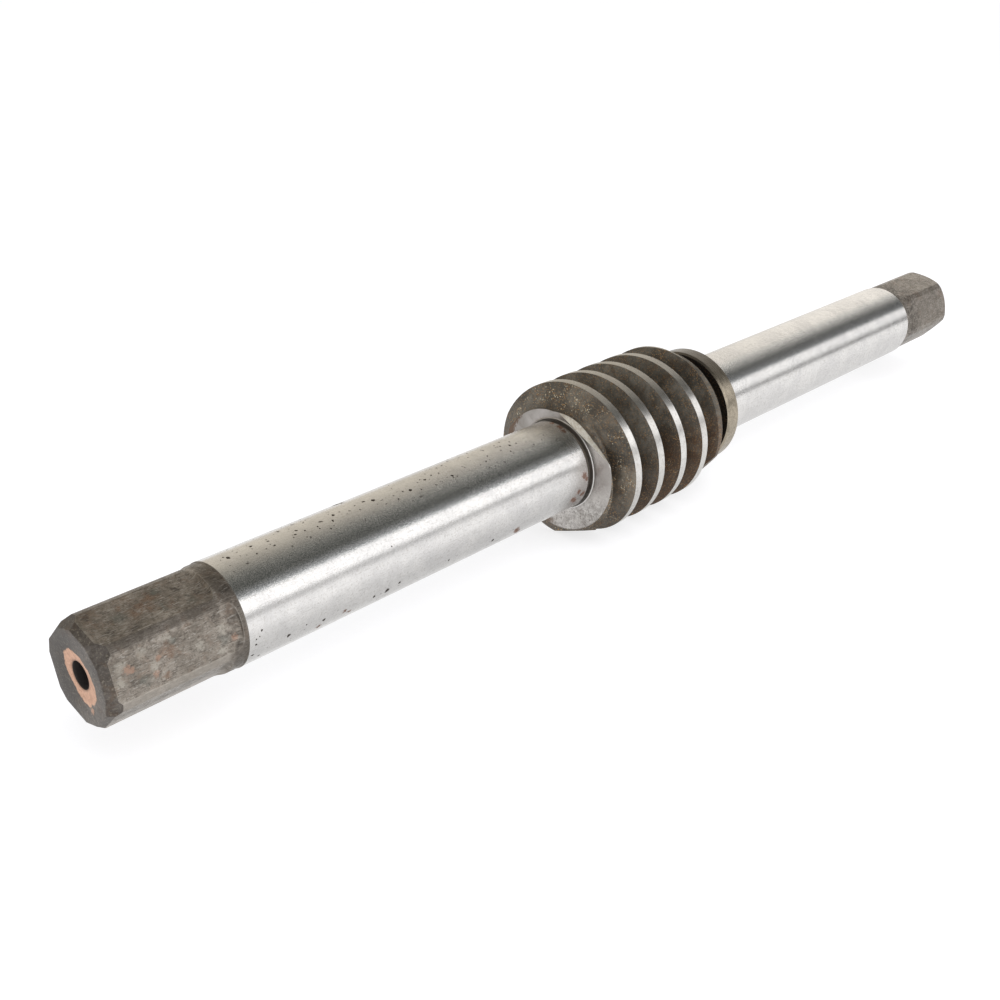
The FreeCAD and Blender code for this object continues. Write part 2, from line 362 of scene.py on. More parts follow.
shaftBody = turnShaft()
print("turned blank:", len(shaftBody.data.polygons), "faces")
millHexagons(shaftBody)
fileNearEnd(shaftBody)
print("hexagons milled:", len(shaftBody.data.polygons), "faces")
cutThread(shaftBody)
print("thread cut:", len(shaftBody.data.polygons), "faces")


# node helpers

def newNode(tree, kind, values=None, **settings):
    node = tree.nodes.new(kind)
    for key, value in settings.items():
        setattr(node, key, value)
    for key, value in (values or {}).items():
        if isinstance(value, bpy.types.NodeSocket):
            tree.links.new(value, node.inputs[key])
        else:
            node.inputs[key].default_value = value
    return node


def colour(red, green, blue):
    # a colour written in sRGB 0-255, as it is seen
    def linear(value):
        value = value / 255
        return value / 12.92 if value <= 0.04045 else ((value + 0.055) / 1.055) ** 2.4
    return (linear(red), linear(green), linear(blue), 1.0)


def mathNode(tree, operation, first, second=None, third=None):
    values = {0: first}
    if second is not None:
        values[1] = second
    if third is not None:
        values[2] = third
    return newNode(tree, "ShaderNodeMath", values, operation=operation).outputs[0]


def product(tree, first, second):
    return mathNode(tree, "MULTIPLY", first, second)


def mapRange(tree, value, low, high, toLow=0.0, toHigh=1.0, smooth=True):
    node = newNode(tree, "ShaderNodeMapRange", {0: value, 1: low, 2: high, 3: toLow, 4: toHigh},
                   interpolation_type="SMOOTHSTEP" if smooth else "LINEAR")
    return node.outputs[0]


def vectorNode(tree, operation, first, second=None, scale=None):
    values = {0: first}
    if second is not None:
        values[1] = second
    if scale is not None:
        values["Scale"] = scale
    node = newNode(tree, "ShaderNodeVectorMath", values, operation=operation)
    return node.outputs["Value"] if operation in ("LENGTH", "DISTANCE", "DOT_PRODUCT") else node.outputs[0]


def mixColour(tree, factor, first, second):
    return newNode(tree, "ShaderNodeMix", {0: factor, 6: first, 7: second}, data_type="RGBA").outputs[2]


def tint(tree, tone, mask, share, other):
    # lays another colour over the tone, as strong as the mask times the share
    return mixColour(tree, product(tree, mask, share), tone, other)


def noise(tree, vector, scale, detail=3.0, roughness=0.6, distortion=0.0):
    return newNode(tree, "ShaderNodeTexNoise", {
        "Vector": vector, "Scale": scale, "Detail": detail, "Roughness": roughness,
        "Distortion": distortion,
    }).outputs[0]


def shifted(tree, place, x, y, z):
    return vectorNode(tree, "ADD", place, (x, y, z))


def ragged(tree, place, reach, scale=1100.0):
    # the place pushed about by fine noise, so that what is drawn there has a ragged edge
    wobble = newNode(tree, "ShaderNodeTexNoise", {"Vector": place, "Scale": scale, "Detail": 5.0})
    push = vectorNode(tree, "SUBTRACT", wobble.outputs["Color"], (0.5, 0.5, 0.5))
    return vectorNode(tree, "ADD", place, vectorNode(tree, "SCALE", push, scale=4 * reach * mm))


# shared finishes as node groups

def startGroup(name, *outputs):
    tree = bpy.data.node_groups.new(name, "ShaderNodeTree")
    tree.interface.new_socket("Place", in_out="INPUT", socket_type="NodeSocketVector")
    for output in outputs:
        tree.interface.new_socket(output, in_out="OUTPUT", socket_type="NodeSocketFloat")
    place = tree.nodes.new("NodeGroupInput").outputs[0]
    result = tree.nodes.new("NodeGroupOutput")
    return tree, place, result


def endGroup(tree, result, *sockets):
    for number, socket in enumerate(sockets):
        tree.links.new(socket, result.inputs[number])
    return tree


def placeParts(tree, place):
    # the three coordinates
    return newNode(tree, "ShaderNodeSeparateXYZ", {0: place}).outputs


def turnRound(tree, parts):
    # the turn round the shaft in radians
    return mathNode(tree, "ARCTAN2", product(tree, parts[1], -1.0), parts[2])


def radiusOut(tree, parts):
    # how far the place lies from the shaft's centre line
    crosswise = newNode(tree, "ShaderNodeCombineXYZ", {1: parts[1], 2: parts[2]}).outputs[0]
    return vectorNode(tree, "LENGTH", crosswise)


def dots(tree, place, scale, size, chance):
    # one dot in a share of the cells, of the size given as a share of a cell
    cells = newNode(tree, "ShaderNodeTexVoronoi", {"Vector": place, "Scale": scale}, feature="F1")
    luck = newNode(tree, "ShaderNodeSeparateColor", {0: cells.outputs["Color"]}).outputs
    lucky = mathNode(tree, "GREATER_THAN", luck[0], 1 - chance)
    reach = mathNode(tree, "MULTIPLY_ADD", luck[1], size * 0.6, size * 0.4)
    share = mathNode(tree, "DIVIDE", cells.outputs["Distance"], reach)
    return product(tree, mapRange(tree, share, 1.0, 0.5), lucky)


def ringStreaks():
    # fine rings round the shaft, as turning and grinding leave them
    tree, place, result = startGroup("ringStreaks", "Fine", "Brushed")
    fine = noise(tree, vectorNode(tree, "MULTIPLY", place, (3200, 16, 16)), 1.0, 4.0, 0.7)
    brushed = noise(tree, vectorNode(tree, "MULTIPLY", place, (1400, 90, 90)), 1.0, 5.0, 0.75)
    return endGroup(tree, result, fine, brushed)


def grimeClouds():
    # soft clouds, small blotches, specks of oxide and fine mottling
    tree, place, result = startGroup("grimeClouds", "Clouds", "Blotches", "Specks", "Mottle", "Grain")
    clouds = mapRange(tree, noise(tree, place, 60, 5.0, 0.6, 0.4), 0.36, 0.66)
    blotches = noise(tree, shifted(tree, place, 0.2, 0.1, 0.3), 170, 6.0, 0.7, 0.6)
    blotches = mapRange(tree, blotches, 0.5, 0.66)
    specks = mapRange(tree, noise(tree, place, 1100, 3.0, 0.7), 0.52, 0.68)
    mottle = mapRange(tree, noise(tree, place, 480, 5.0, 0.72, 0.8), 0.4, 0.62)
    grain = noise(tree, place, 2200, 3.0, 0.8)
    return endGroup(tree, result, clouds, blotches, specks, mottle, grain)


def scratchGrain():
    # crossed scratches from filing and handling: light ones and dark ones
    tree, place, result = startGroup("scratchGrain", "Light", "Dark")
    parts = placeParts(tree, place)
    turn = turnRound(tree, parts)
    girth = product(tree, turn, 0.02)
    spread = newNode(tree, "ShaderNodeCombineXYZ", {0: parts[0], 1: girth, 2: 0.0}).outputs[0]
    fields = []
    for angle, along, across in ((0.65, 300, 1700), (-0.8, 340, 1900), (0.08, 170, 1500), (1.3, 420, 1600)):
        turned = newNode(tree, "ShaderNodeMapping", {
            "Vector": spread, "Rotation": (0, 0, angle), "Scale": (along, across, 1)}).outputs[0]
        fields.append(noise(tree, turned, 1.0, 2.0, 0.6, 0.3))
    light = mapRange(tree, mathNode(tree, "MAXIMUM", fields[0], fields[1]), 0.56, 0.74)
    dark = mapRange(tree, mathNode(tree, "MAXIMUM", fields[2], fields[3]), 0.56, 0.72)
    return endGroup(tree, result, light, dark)


def settledDust():
    # rust specks and pale dust caught on the dark flanks, in drifts
    tree, place, result = startGroup("settledDust", "Gold", "Pale")
    parts = placeParts(tree, place)
    radius = radiusOut(tree, parts)
    drift = mapRange(tree, noise(tree, place, 80, 4.0, 0.65), 0.4, 0.62)
    # on the first flank the dust lies thickest in an arc halfway up the thread
    arc = mathNode(tree, "ABSOLUTE", mathNode(tree, "SUBTRACT", radius, 30.0 * mm))
    arc = mapRange(tree, arc, 3.0 * mm, 0.6 * mm)
    arc = product(tree, arc, mapRange(tree, parts[0], -0.034, -0.040))
    drift = mathNode(tree, "MAXIMUM", drift, arc)
    patchy = mapRange(tree, noise(tree, shifted(tree, place, 0.5, 0.2, 0.9), 230, 3.0, 0.6), 0.42, 0.58)
    drift = product(tree, drift, patchy)
    gold = mathNode(tree, "MAXIMUM", dots(tree, place, 2000, 0.7, 0.5), dots(tree, place, 1000, 0.4, 0.2))
    gold = product(tree, gold, mathNode(tree, "MULTIPLY_ADD", drift, 0.62, 0.38))
    pale = dots(tree, shifted(tree, place, 0.3, 0.7, 0.1), 1500, 0.66, 0.36)
    pale = mathNode(tree, "MAXIMUM", pale, dots(tree, shifted(tree, place, 0.1, 0.2, 0.6), 800, 0.36, 0.16))
    pale = product(tree, pale, drift)
    return endGroup(tree, result, gold, pale)


finishes = {"rings": ringStreaks(), "grime": grimeClouds(), "scratches": scratchGrain(),
            "dust": settledDust()}


def useGroup(tree, group, place):
    node = tree.nodes.new("ShaderNodeGroup")
    node.node_tree = finishes[group]
    tree.links.new(place, node.inputs[0])
    return node.outputs


def newMaterial(name, metallic):
    material = bpy.data.materials.new(name)
    material.use_nodes = True
    tree = material.node_tree
    shader = tree.nodes["Principled BSDF"]
    shader.inputs["Metallic"].default_value = metallic
    place = newNode(tree, "ShaderNodeTexCoord").outputs["Object"]
    return material, tree, shader, place


def finishWith(tree, shader, tone, roughness, height, relief, edge=0.3):
    # relief is the height of the bump in mm, edge the radius that rounds the corners
    rounded = newNode(tree, "ShaderNodeBevel", {"Radius": edge * mm}, samples=4).outputs[0]
    normal = newNode(tree, "ShaderNodeBump", {
        "Strength": 1.0, "Distance": relief * mm, "Height": height, "Normal": rounded}).outputs[0]
    tree.links.new(tone, shader.inputs["Base Color"])
    tree.links.new(roughness, shader.inputs["Roughness"])
    tree.links.new(normal, shader.inputs["Normal"])


def groundAround(tree, shader, anisotropy):
    # grinding rings spread what the steel mirrors along the shaft
    shader.inputs["Anisotropic"].default_value = anisotropy
    shader.inputs["Anisotropic Rotation"].default_value = 0.25
    tangent = newNode(tree, "ShaderNodeTangent", direction_type="RADIAL", axis="X").outputs[0]
    tree.links.new(tangent, shader.inputs["Tangent"])


def edgeMask(tree, radius, low, high):
    # 1 on outer and inner corners, 0 on open faces
    edge = newNode(tree, "ShaderNodeBevel", {"Radius": radius * mm}, samples=6).outputs[0]
    face = newNode(tree, "ShaderNodeNewGeometry").outputs["Normal"]
    return mapRange(tree, vectorNode(tree, "DOT_PRODUCT", edge, face), high, low)


def marks(tree, place, spots, reach=0.3, soft=0.6, scale=1100.0):
    # ragged spots, each given as its place and its size in mm
    moved = ragged(tree, place, reach, scale)
    nearest = None
    for centre, size in spots:
        away = vectorNode(tree, "DISTANCE", moved, tuple(centre))
        share = mathNode(tree, "DIVIDE", away, size * mm)
        nearest = share if nearest is None else mathNode(tree, "MINIMUM", nearest, share)
    return mapRange(tree, nearest, 1.0, soft)


def onJournal(spots):
    return [(around(turn, shaft["journal"] * mm, station * mm), size) for station, turn, size in spots]


def onFlat(flatTurn, spots):
    # spots on a flat of the near hexagon: station, place across it, size
    across = around(flatTurn + 90, 1.0)
    foot = around(flatTurn, hexagon["acrossFlats"] / 2)
    return [((foot + across * side + Vector((station, 0, 0))) * mm, size) for station, side, size in spots]


# pits and rust on the near journal: station, turn, size
journalSpots = {
    "pits": (
        (-222.4, 1, 0.9), (-212.1, -3, 0.7), (-213.3, 12, 0.5), (-198.5, -11, 0.7), (-193.7, 2, 0.7),
        (-195.6, 8, 0.6), (-191.3, 8, 0.6), (-183.5, 4, 0.7), (-186.2, 10, 0.5), (-176.8, 2, 0.8),
        (-179.0, 10, 0.5), (-161.8, 0, 0.7), (-158.4, 5, 1.0), (-142.0, 13, 0.8), (-132.3, 6, 0.8),
        (-121.2, 17, 0.8), (-102.3, 17, 0.6), (-98.9, 10, 0.6), (-84.9, 7, 0.7), (-81.5, 8, 0.6),
        (-168.5, -25, 1.7), (-166.5, -22, 1.1), (-227.1, 97, 0.5), (-225.6, 95, 0.4),
        (-227.1, 103, 0.6), (-224.6, 89, 0.5), (-228.0, 117, 0.6), (-224.6, 125, 0.6),
        (-213.0, 113, 0.9), (-205.3, 109, 0.5), (-197.1, 115, 0.9), (-173.4, 117, 0.8),
        (-167.1, 117, 1.3), (-161.3, 113, 0.8), (-135.4, 115, 0.7), (-110.5, 118, 1.0),
        (-164.0, 64, 0.35)),
    "rust": (
        (-96.0, 121, 2.2), (-94.6, 126, 1.9), (-62.2, 113, 2.2), (-60.5, 117, 2.0), (-56.6, 84, 2.3),
        (-55.4, 89, 1.6), (-59.8, 104, 1.8), (-56.5, 110, 2.0), (-55.0, 12, 2.4), (-56.2, 20, 1.8),
        (-55.0, -2, 1.6), (-187.4, 118, 1.3), (-184.5, 123, 1.1), (-198.8, 124, 1.5)),
}

topFlat = hexagon["nearTurn"] - 30
rightFlat = hexagon["nearTurn"] + 30

# rust, dark and pale spots on the two flats of the near hexagon that are seen: station, across, size
hexagonSpots = {
    "rust": onFlat(topFlat, (
        (-262.0, 1.0, 3.6), (-254.0, -3.0, 3.6), (-256.0, 1.5, 3.2), (-264.5, -3.8, 2.4),
        (-258.5, -1.5, 3.4), (-248.2, -7.5, 1.8))) + onFlat(rightFlat, (
        (-257.6, -1.7, 4.0), (-260.7, 6.2, 2.2))),
    "pink": onFlat(rightFlat, (
        (-273.0, -1.7, 2.2), (-271.6, -1.0, 1.5), (-262.0, -1.0, 1.4), (-264.0, 3.8, 1.5),
        (-234.2, 3.5, 1.7))),
    "dark": onFlat(topFlat, (
        (-244.8, -2.4, 2.1), (-240.3, 1.8, 1.6), (-240.2, 3.0, 1.4), (-275.5, -5.3, 2.4),
        (-273.5, 4.0, 2.2), (-241.2, -5.5, 1.2), (-233.4, 1.2, 3.6), (-231.8, 6.7, 3.2),
        (-232.4, -4.3, 3.8), (-236.0, 4.5, 2.4), (-265.0, 6.0, 2.6))) + onFlat(rightFlat, (
        (-271.7, 3.6, 1.9), (-236.2, 1.8, 2.0), (-233.0, -3.2, 3.8), (-231.2, 1.3, 3.2),
        (-239.5, -6.2, 2.4), (-233.0, 6.5, 2.8))),
    "teal": onFlat(topFlat, (
        (-267.5, -0.3, 4.2), (-251.0, -4.8, 2.8), (-253.0, 3.0, 3.2), (-243.0, 4.5, 3.0))) + onFlat(rightFlat, (
        (-238.0, 2.5, 3.2), (-256.0, -5.0, 2.6), (-268.0, 4.0, 3.0))),
    "pale": onFlat(rightFlat, (
        (-275.2, -3.2, 3.0), (-275.8, 1.5, 2.6), (-240.0, 5.8, 2.4), (-257.5, -6.2, 2.6),
        (-237.5, -1.0, 2.4), (-267.0, -5.0, 2.6), (-247.0, 1.0, 3.4), (-264.0, 1.5, 2.6))),
}


def journalSteel():
    # ground bright, with small pits, stains and rust, and a painted sheen band along one side
    material, tree, shader, place = newMaterial("journalSteel", 1.0)
    groundAround(tree, shader, 1.0)
    rings = useGroup(tree, "rings", place)
    grime = useGroup(tree, "grime", place)
    parts = placeParts(tree, place)
    turn = turnRound(tree, parts)
    scratches = useGroup(tree, "scratches", place)
    tone = mixColour(tree, grime["Clouds"], colour(240, 238, 236), colour(230, 228, 227))
    tone = tint(tree, tone, grime["Mottle"], 0.13, colour(196, 194, 193))
    tone = tint(tree, tone, grime["Specks"], 0.25, colour(160, 150, 138))
    tone = tint(tree, tone, scratches["Dark"], 0.22, colour(176, 172, 166))
    # painted sheen with speckle: a band along one side of the journals is painted near white with bluish-grey
    # speckle
    band = product(tree, mapRange(tree, turn, radians(14), radians(32)),
                   mapRange(tree, turn, radians(54), radians(49)))
    sheenSpeckle = mapRange(tree, noise(tree, place, 2400, 3.0, 0.75, 0.2), 0.44, 0.58)
    tone = tint(tree, tone, band, 0.7,
                mixColour(tree, sheenSpeckle, colour(255, 255, 255), colour(164, 171, 172)))
    smudge = noise(tree, shifted(tree, place, 0.4, 0.1, 0.2), 130, 4.0, 0.65, 0.8)
    smudge = mapRange(tree, smudge, 0.44, 0.64)
    smudge = product(tree, smudge, mapRange(tree, parts[0], 0.02, -0.02, 0.35, 1.0))
    tone = tint(tree, tone, smudge, 0.18, colour(198, 198, 198))
    upper = mapRange(tree, parts[2], 0.0155, 0.0195)  # most of the pits lie along the top
    lower = product(tree, mapRange(tree, parts[2], -0.005, -0.009), 0.35)
    pitted = mathNode(tree, "ADD", mathNode(tree, "MULTIPLY_ADD", upper, 0.8, 0.08), lower)
    nearSide = mapRange(tree, parts[0], 0.02, -0.02)
    pits = mathNode(tree, "MAXIMUM", dots(tree, ragged(tree, place, 0.5), 330, 0.24, 0.45),
                    dots(tree, ragged(tree, place, 0.35), 560, 0.34, 0.4))
    pits = product(tree, pits, product(tree, pitted, nearSide))
    pits = mathNode(tree, "MAXIMUM", pits, marks(tree, place, onJournal(journalSpots["pits"]), 0.4))
    rust = marks(tree, place, onJournal(journalSpots["rust"]), 0.7, 0.4)
    tone = tint(tree, tone, rust, 0.8, colour(142, 96, 70))
    tone = tint(tree, tone, pits, 0.92, colour(64, 52, 42))
    height = mathNode(tree, "MULTIPLY_ADD", pits, -0.6, grime["Grain"])
    rough = mapRange(tree, rings["Brushed"], 0.3, 0.7, 0.17, 0.22)
    rough = mathNode(tree, "MULTIPLY_ADD", mathNode(tree, "MAXIMUM", pits, rust), 0.3, rough)
    finishWith(tree, shader, tone, rough, height, 0.03, 0.2)
    return material


def crestSteel():
    # crest lands of the thread: ground with the journals, painted darker along the top as painted shade
    material, tree, shader, place = newMaterial("crestSteel", 1.0)
    groundAround(tree, shader, 0.9)
    rings = useGroup(tree, "rings", place)
    grime = useGroup(tree, "grime", place)
    parts = placeParts(tree, place)
    tone = mixColour(tree, grime["Clouds"], colour(242, 240, 237), colour(232, 229, 225))
    # painted shade: the top of the crest lands is painted darker
    top = mapRange(tree, parts[2], 0.020, 0.034)
    tone = tint(tree, tone, top, 0.6, colour(152, 145, 134))
    tone = tint(tree, tone, grime["Mottle"], 0.2, colour(168, 161, 150))
    tone = tint(tree, tone, grime["Specks"], 0.25, colour(120, 110, 96))
    rough = mapRange(tree, rings["Brushed"], 0.3, 0.7, 0.26, 0.34)
    finishWith(tree, shader, tone, rough, grime["Grain"], 0.015, 0.3)
    return material


def oxideSteel():
    # hexagonal ends: dark oxide skin with crossed scratches, rust clouds and grease
    material, tree, shader, place = newMaterial("oxideSteel", 0.75)
    grime = useGroup(tree, "grime", place)
    scratches = useGroup(tree, "scratches", place)
    parts = placeParts(tree, place)
    radius = radiusOut(tree, parts)
    tone = mixColour(tree, grime["Clouds"], colour(134, 126, 116), colour(174, 165, 155))
    tone = tint(tree, tone, grime["Mottle"], 0.5, colour(102, 94, 85))
    tone = tint(tree, tone, grime["Blotches"], 0.4, colour(130, 104, 84))
    side = mapRange(tree, parts[1], -0.0150, -0.0175)  # painted light: the flat towards the camera and the softbox is painted lighter
    tone = tint(tree, tone, side, 0.12, colour(196, 188, 178))
    tone = tint(tree, tone, marks(tree, place, hexagonSpots["teal"], 1.3, 0.1, 420.0), 0.45,
                colour(98, 106, 101))
    tone = tint(tree, tone, marks(tree, place, hexagonSpots["rust"], 1.7, 0.05, 420.0), 0.65,
                colour(128, 98, 76))
    tone = tint(tree, tone, scratches["Dark"], 0.55, colour(74, 67, 60))
    tone = tint(tree, tone, marks(tree, place, hexagonSpots["pale"], 1.2, 0.1, 420.0), 0.4,
                colour(210, 204, 192))
    tone = tint(tree, tone, marks(tree, place, hexagonSpots["dark"], 1.5, 0.05, 520.0), 0.7,
                colour(62, 57, 52))
    tone = tint(tree, tone, scratches["Light"], 0.55, colour(206, 200, 192))
    tone = tint(tree, tone, marks(tree, place, hexagonSpots["pink"], 0.8, 0.3), 0.55, colour(190, 150, 128))
    tone = tint(tree, tone, grime["Specks"], 0.5, colour(78, 70, 61))
    # painted shade on the upward corner lands of the near hexagon, and a painted highlight on the others
    ridge = product(tree, mapRange(tree, radius, 0.01945, 0.01962),
                    mapRange(tree, parts[0], -0.236, -0.238))
    upward = mapRange(tree, parts[2], -0.002, 0.004)
    tone = tint(tree, tone, product(tree, ridge, upward), 0.45, colour(98, 91, 84))
    tone = tint(tree, tone, product(tree, ridge, mathNode(tree, "SUBTRACT", 1.0, upward)), 0.45,
                colour(206, 198, 188))
    # painted light: the flats facing down are painted lighter, as light from the floor below
    tone = tint(tree, tone, mapRange(tree, parts[2], -0.012, -0.016), 0.35, colour(214, 207, 199))
    nearBand = mapRange(tree, parts[0], -0.2362, -0.2342)
    nearBand = product(tree, nearBand, mathNode(tree, "LESS_THAN", parts[0], 0.0))
    land = mapRange(tree, radius, 0.0184, 0.0194)  # the unmilled land beside the near journal
    band = product(tree, nearBand, land)
    tone = tint(tree, tone, band, 0.4, colour(74, 68, 62))
    tone = tint(tree, tone, edgeMask(tree, 0.6, 0.93, 0.995), 0.4, colour(196, 189, 180))
    tone = tint(tree, tone, mapRange(tree, parts[0], 0.20, 0.23), 0.15, colour(92, 84, 76))
    # dark blotches with painted shade beside the far shoulder
    farBlotchesAndShade = product(tree, mapRange(tree, parts[0], 0.252, 0.238),
                      mathNode(tree, "GREATER_THAN", parts[0], 0.0))
    tone = tint(tree, tone, product(tree, farBlotchesAndShade, grime["Mottle"]), 0.6, colour(62, 57, 51))
    rough = mapRange(tree, grime["Mottle"], 0, 1, 0.32, 0.46)
    height = mathNode(tree, "SUBTRACT", scratches["Light"], scratches["Dark"])
    height = mathNode(tree, "MULTIPLY_ADD", grime["Grain"], 1.6, height)
    finishWith(tree, shader, tone, rough, height, 0.05, 0.9)
    return material


def endFaceSteel():
    # end faces and their bevels, with copper left round the centre hole of the near one
    material, tree, shader, place = newMaterial("endFaceSteel", 0.6)
    grime = useGroup(tree, "grime", place)
    scratches = useGroup(tree, "scratches", place)
    parts = placeParts(tree, place)
    turn = turnRound(tree, parts)
    radius = radiusOut(tree, parts)
    tone = mixColour(tree, grime["Clouds"], colour(94, 88, 83), colour(124, 117, 111))
    tone = tint(tree, tone, grime["Mottle"], 0.6, colour(74, 67, 61))
    tone = tint(tree, tone, grime["Blotches"], 0.4, colour(112, 92, 74))
    tone = tint(tree, tone, scratches["Dark"], 0.4, colour(70, 64, 58))
    tone = tint(tree, tone, grime["Specks"], 0.55, colour(158, 150, 136))
    # painted shade: the half of the end face away from the camera and the softbox is painted darker
    tone = tint(tree, tone, mapRange(tree, parts[1], -0.004, 0.012), 0.5, colour(62, 58, 54))
    tone = tint(tree, tone, edgeMask(tree, 0.5, 0.9, 0.995), 0.25, colour(150, 144, 137))
    # the ring's outer edge: an oval, longer towards the lower right, with a wavy rim
    lean = mathNode(tree, "SUBTRACT", turn, radians(130))
    oval = mathNode(tree, "COSINE", product(tree, lean, 2.0))
    edge = mathNode(tree, "MULTIPLY_ADD", oval, 1.3 * mm, 9.1 * mm)
    edge = mathNode(tree, "MULTIPLY_ADD", mathNode(tree, "COSINE", lean), 0.5 * mm, edge)
    wave = mathNode(tree, "SUBTRACT", noise(tree, place, 260, 5.0, 0.7), 0.5)
    edge = mathNode(tree, "MULTIPLY_ADD", wave, 4.0 * mm, edge)
    ring = mapRange(tree, mathNode(tree, "SUBTRACT", radius, edge), 0.2 * mm, -0.2 * mm)
    drip = marks(tree, place, [(around(150, 12.2 * mm, -281.2 * mm), 1.5)], 0.7)
    ring = mathNode(tree, "MAXIMUM", ring, product(tree, drip, 0.7))
    ring = product(tree, ring, mathNode(tree, "LESS_THAN", parts[0], 0.0))
    copper = mixColour(tree, grime["Mottle"], colour(236, 194, 168), colour(216, 172, 146))
    copper = tint(tree, copper, grime["Specks"], 0.35, colour(184, 140, 114))
    rim = mapRange(tree, radius, 6.2 * mm, 5.2 * mm)  # wiped darker at the mouth of the hole
    copper = tint(tree, copper, rim, 0.5, colour(120, 92, 78))
    tone = mixColour(tree, ring, tone, copper)
    rough = mapRange(tree, ring, 0, 1, 0.42, 0.55)
    height = mathNode(tree, "MULTIPLY_ADD", ring, 1.4,
                      mathNode(tree, "ADD", grime["Specks"], grime["Grain"]))
    finishWith(tree, shader, tone, rough, height, 0.03, 0.8)
    return material


def holeShadeSteel():
    # inside of the centre holes, painted dark as painted shade
    material, tree, shader, place = newMaterial("holeShadeSteel", 0.2)
    grime = useGroup(tree, "grime", place)
    tone = mixColour(tree, grime["Clouds"], colour(62, 58, 57), colour(88, 82, 78))
    rough = mapRange(tree, grime["Specks"], 0, 1, 0.4, 0.6)
    finishWith(tree, shader, tone, rough, grime["Specks"], 0.02)
    return material


def flankSteel():
    # thread flanks, root and the turned steps: dark, with golden rust specks and pale dust, painted shade low,
    # in the root and on the far side, and painted light on the first flank
    material, tree, shader, place = newMaterial("flankSteel", 0.55)
    grime = useGroup(tree, "grime", place)
    dust = useGroup(tree, "dust", place)
    parts = placeParts(tree, place)
    radius = radiusOut(tree, parts)
    tone = mixColour(tree, grime["Clouds"], colour(94, 90, 83), colour(154, 149, 139))
    tone = tint(tree, tone, grime["Blotches"], 0.55, colour(114, 92, 70))
    tone = tint(tree, tone, grime["Mottle"], 0.4, colour(80, 74, 66))
    tone = tint(tree, tone, grime["Specks"], 0.4, colour(68, 60, 51))
    low = mapRange(tree, parts[2], 0.014, -0.022)  # painted shade: darker and browner towards the floor
    tone = tint(tree, tone, low, 0.55, colour(62, 54, 46))
    rootShade = mapRange(tree, radius, 0.030, 0.025)  # painted shade: darker in the root of the thread
    tone = tint(tree, tone, rootShade, 0.45, colour(54, 48, 41))
    # painted shade: the side away from the camera and the softbox is painted darker
    farSideShade = mapRange(tree, parts[1], 0.008, 0.026)
    tone = tint(tree, tone, farSideShade, 0.42, colour(76, 71, 64))
    # painted light: the part of the first flank facing the camera is painted lighter, broken up by clouds
    facingSheen = product(tree, mapRange(tree, parts[1], 0.006, -0.016),
                     mapRange(tree, parts[2], -0.024, -0.004))
    facingSheen = product(tree, facingSheen, mapRange(tree, parts[0], -0.030, -0.038))  # the first flank only
    tone = tint(tree, tone, product(tree, facingSheen, grime["Clouds"]), 0.35, colour(178, 166, 148))
    inner = mapRange(tree, parts[0], -0.036, -0.028)
    tone = tint(tree, tone, inner, 0.3, colour(66, 63, 55))
    brown = product(tree, mapRange(tree, parts[0], -0.030, -0.018),
                    mapRange(tree, parts[1], -0.004, -0.018))
    brown = product(tree, brown, mapRange(tree, parts[2], 0.016, 0.0))
    brown = product(tree, brown, mathNode(tree, "MULTIPLY_ADD", grime["Mottle"], 0.6, 0.4))
    tone = tint(tree, tone, brown, 0.5, colour(116, 82, 54))
    tone = tint(tree, tone, dust["Gold"], 0.85, colour(190, 148, 98))
    front = mapRange(tree, parts[0], -0.036, -0.042)  # pale dust lies on the first flank
    pale = product(tree, dust["Pale"], mathNode(tree, "MULTIPLY_ADD", front, 0.7, 0.3))
    tone = tint(tree, tone, pale, 0.9, colour(222, 212, 188))
    rough = mapRange(tree, grime["Clouds"], 0, 1, 0.36, 0.5)
    height = mathNode(tree, "ADD", mathNode(tree, "MULTIPLY_ADD", grime["Grain"], 1.5, grime["Specks"]),
                      dust["Gold"])
    finishWith(tree, shader, tone, rough, height, 0.035, 0.25)
    return material


